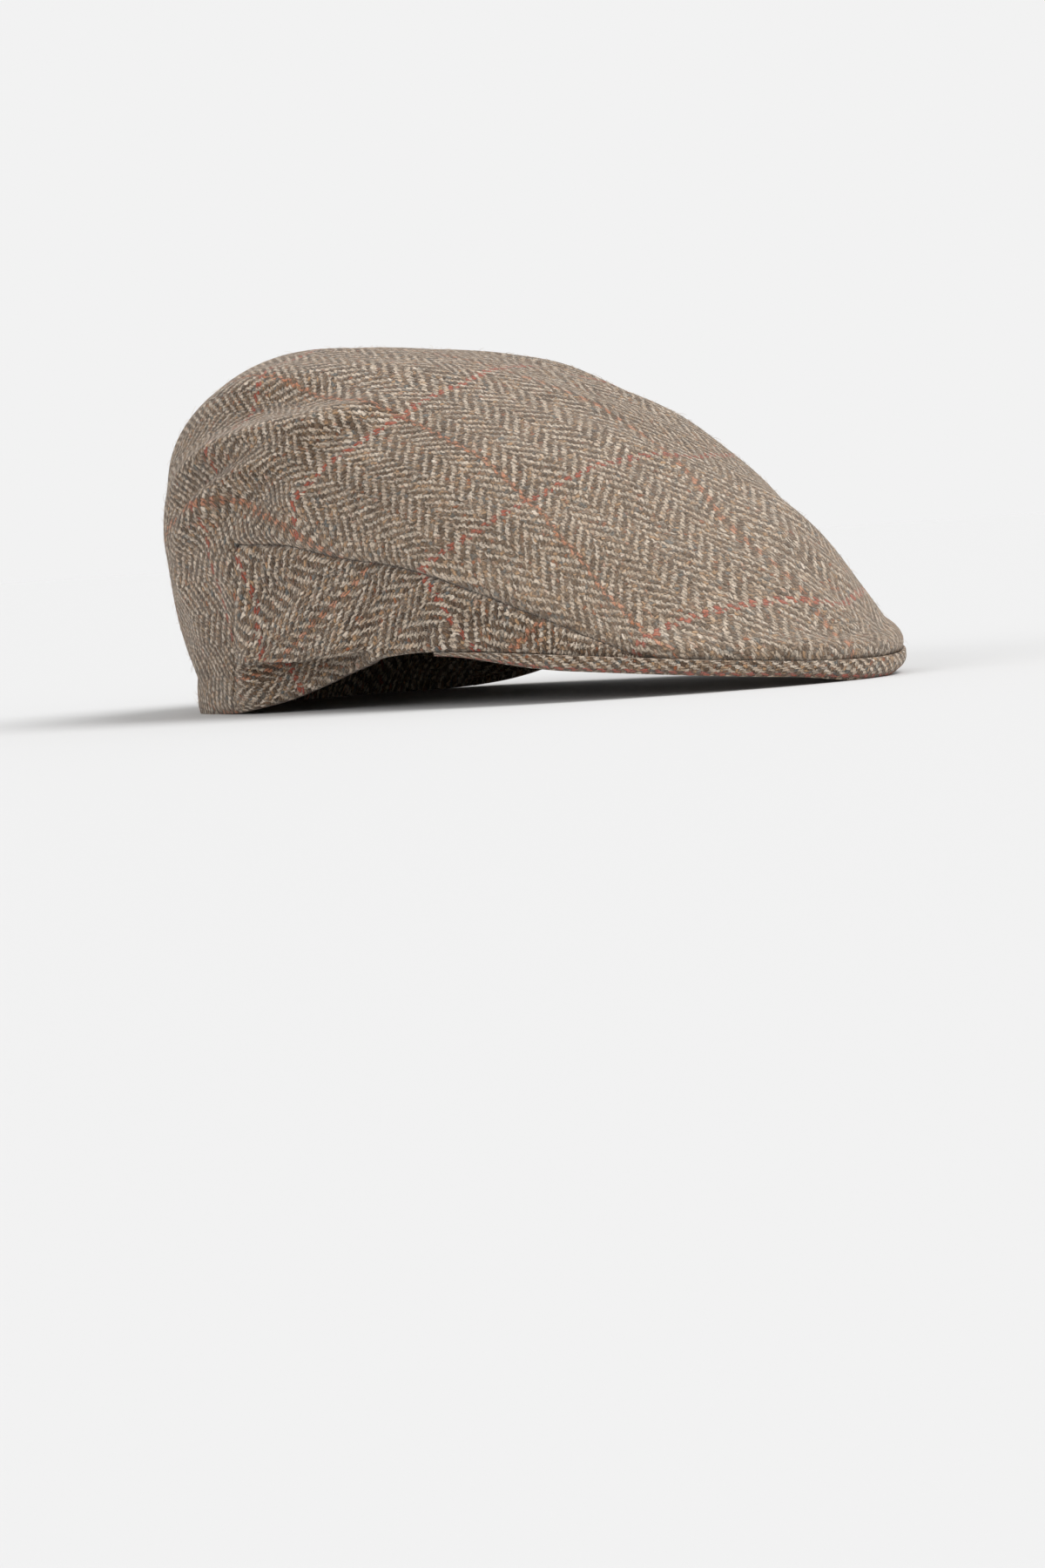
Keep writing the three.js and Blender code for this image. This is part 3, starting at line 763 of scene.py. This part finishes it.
# A closed smooth curve through the ten places (Catmull-Rom), the same share of each at every angle
def makePeak():
    angle = np.linspace(-peak["endAngle"], peak["endAngle"], peak["columns"])
    outline = peakOutline(angle)
    spread = np.linspace(0, len(outline), peak["around"], endpoint=False)
    place = spread.astype(int)
    share = (spread - place)[:, None, None]
    before, start, end, after = (outline[(place + step) % len(outline)] for step in (-1, 0, 1, 2))
    tight = 0.5 * share
    curve = (start + tight * (end - before) + share ** 2 * (before - 2.5 * start + 2 * end - 0.5 * after)
             + share ** 3 * (1.5 * (start - end) + 0.5 * (after - before)))
    reach, height = curve[..., 0], curve[..., 1]
    points = np.stack([capForm["axis"][0] - reach * np.sin(np.radians(angle)),
                       capForm["axis"][1] - reach * np.cos(np.radians(angle)), np.maximum(height, 0)], axis=-1)
    rows, columns = reach.shape
    index = np.arange(rows * columns).reshape(rows, columns)
    below = np.roll(index, -1, axis=0)
    faces = np.stack([index[:, :-1], below[:, :-1], below[:, 1:], index[:, 1:]], axis=-1).reshape(-1, 4)
    # The two ends are closed by strips across the outline
    half = rows // 2
    step = np.arange(half - 1)
    for column, order in ((0, -1), (columns - 1, 1)):
        ends = np.stack([index[step, column], index[step + 1, column],
                         index[rows - 2 - step, column], index[rows - 1 - step, column]], axis=-1)
        faces = np.concatenate([faces, ends[:, ::order]])
    run = np.concatenate([[0], np.cumsum(np.hypot(*np.diff(curve[:, columns // 2], axis=0).T))])
    bottom = run[np.argmin(np.abs(spread - peak["edgingAt"]))]
    along = -peak["clothPull"] * np.radians(angle) * peak["clothReach"]
    sheet = np.stack(np.broadcast_arrays((run - bottom)[:, None], along), axis=-1).reshape(-1, 2)
    piece = makeMesh("peak_cloth", points.reshape(-1, 3), faces, sheet[faces], [tweedPeak])
    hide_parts("peak")
    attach(piece, "root")


makePeak()
print("peak made")


wool = {
    "count": 5000, "shortest": 1.0, "longest": 4.0, "radius": 0.055, "lift": 0.8, "curl": 0.5,
    "rooted": 0.15,           # depth of the root in the cloth
    "colours": [(0.0, shown(120, 100, 84)), (0.35, shown(196, 178, 158)), (1.0, shown(230, 216, 198))],
}


# Loose wool: each fibre is a thin three-sided tube along a parabola that rises from the cloth and leans over
def makeWool():
    count = wool["count"]
    angle = rng.uniform(-180, 180, count)
    level = np.sqrt(rng.uniform(0.01, 1, count))
    root = outerFace(angle, level)
    normal = smoothNormal(angle, level)
    lean = np.cross(normal, rng.normal(size=(count, 3)))
    lean /= np.linalg.norm(lean, axis=-1, keepdims=True)
    side = np.cross(normal, lean)
    length = rng.uniform(wool["shortest"], wool["longest"], count) * rng.uniform(0.5, 1, count)
    lift = wool["lift"] * rng.uniform(0.2, 1, count)
    curl = wool["curl"] * rng.normal(size=count)
    share = np.array([0, 0.5, 1])[:, None, None]
    path = length[:, None] * (share * lean + lift[:, None] * (share - 0.5 * share ** 2) * normal
                              + curl[:, None] * share ** 2 * side) - wool["rooted"] * (1 - share) * normal
    turn = 2 * np.pi * np.arange(3) / 3
    ring = np.cos(turn)[:, None, None] * normal + np.sin(turn)[:, None, None] * side
    thick = wool["radius"] * (1 - 0.5 * share[..., None])
    points = root + path[:, None] + thick * ring
    points[..., 2] = np.maximum(points[..., 2], 0)
    index = np.arange(3 * 3 * count).reshape(3, 3, count)
    around = np.roll(index, -1, axis=1)
    firstHalves = np.stack([index[:-1], around[:-1], around[1:]], axis=-1).reshape(-1, 3)
    otherHalves = np.stack([index[:-1], around[1:], index[1:]], axis=-1).reshape(-1, 3)
    faces = np.concatenate([firstHalves, otherHalves, index[0][::-1].T, index[2].T])
    shade = np.broadcast_to(rng.uniform(0, 1, count), (3, 3, count)).ravel()
    sheet = np.stack([shade, shade], axis=-1)[faces]
    finish = Finish(bpy.data.materials.new("looseWool"))
    place = finish.node("ShaderNodeUVMap", {"uv_map": "cloth"}).outputs[0]
    pale = finish.number(finish.node("ShaderNodeSeparateXYZ", None, {0: place}))
    colour = finish.ramp(pale, wool["colours"])
    surface = finish.node("ShaderNodeBsdfPrincipled", None, {"Base Color": colour, "Roughness": 0.9,
                                                             "Specular IOR Level": 0.2})
    finish.node("ShaderNodeOutputMaterial", None, {0: surface.outputs[0]})
    piece = makeMesh("loose_wool", points.reshape(-1, 3), faces, sheet, [finish.holder])
    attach(piece, "root")


makeWool()
print("loose wool made")


# Floor and light: a pale table in even light from all round, with two broad lamps
stage = {
    "floor": shown(209, 209, 209),
    "backdrop": shown(242, 242, 242),
    "halfWidth": 30,          # metres
    "fill": 0.67,
    "spread": 40,             # degrees across each lamp
    # name, power, tilt and turn: the key lamp above the peak, and a weaker one low behind the back of the cap
    "lamps": [("key", 2.3, 34, 24), ("rim", 1.0, 68, 250)],
}


def makeStage():
    finish = Finish(bpy.data.materials.new("paleFloor"))
    surface = finish.node("ShaderNodeBsdfPrincipled", None, {"Base Color": (*stage["floor"], 1), "Roughness": 0.9,
                                                             "Specular IOR Level": 0.1})
    finish.node("ShaderNodeOutputMaterial", None, {0: surface.outputs[0]})
    size = stage["halfWidth"]
    corners = [(-size, -size, 0), (size, -size, 0), (size, size, 0), (-size, size, 0)]
    mesh = bpy.data.meshes.new("floor")
    mesh.from_pydata(corners, [], [(0, 1, 2, 3)])
    mesh.materials.append(finish.holder)
    floor = bpy.data.objects.new("floor", mesh)
    bpy.context.scene.collection.objects.link(floor)
    bpy.context.scene.view_settings.view_transform = "Standard"   # the pale backdrop stays as pale as it was lit
    studio = Finish(bpy.data.worlds.new("studio"))
    bpy.context.scene.world = studio.holder
    plain = studio.node("ShaderNodeBackground", None, {0: (*stage["backdrop"], 1)}).outputs[0]
    fill = studio.node("ShaderNodeBackground", None, {0: (1, 1, 1, 1), 1: stage["fill"]}).outputs[0]
    seen = studio.node("ShaderNodeLightPath").outputs["Is Camera Ray"]
    both = studio.node("ShaderNodeMixShader", None, {0: seen, 1: fill, 2: plain}).outputs[0]
    studio.node("ShaderNodeOutputWorld", None, {0: both})
    for name, power, tilt, turn in stage["lamps"]:
        lamp = bpy.data.lights.new(name, "SUN")
        lamp.energy = power
        lamp.angle = math.radians(stage["spread"])
        holder = bpy.data.objects.new(name, lamp)
        holder.rotation_euler = (math.radians(tilt), 0, math.radians(turn))
        bpy.context.scene.collection.objects.link(holder)


makeStage()
print("stage set")
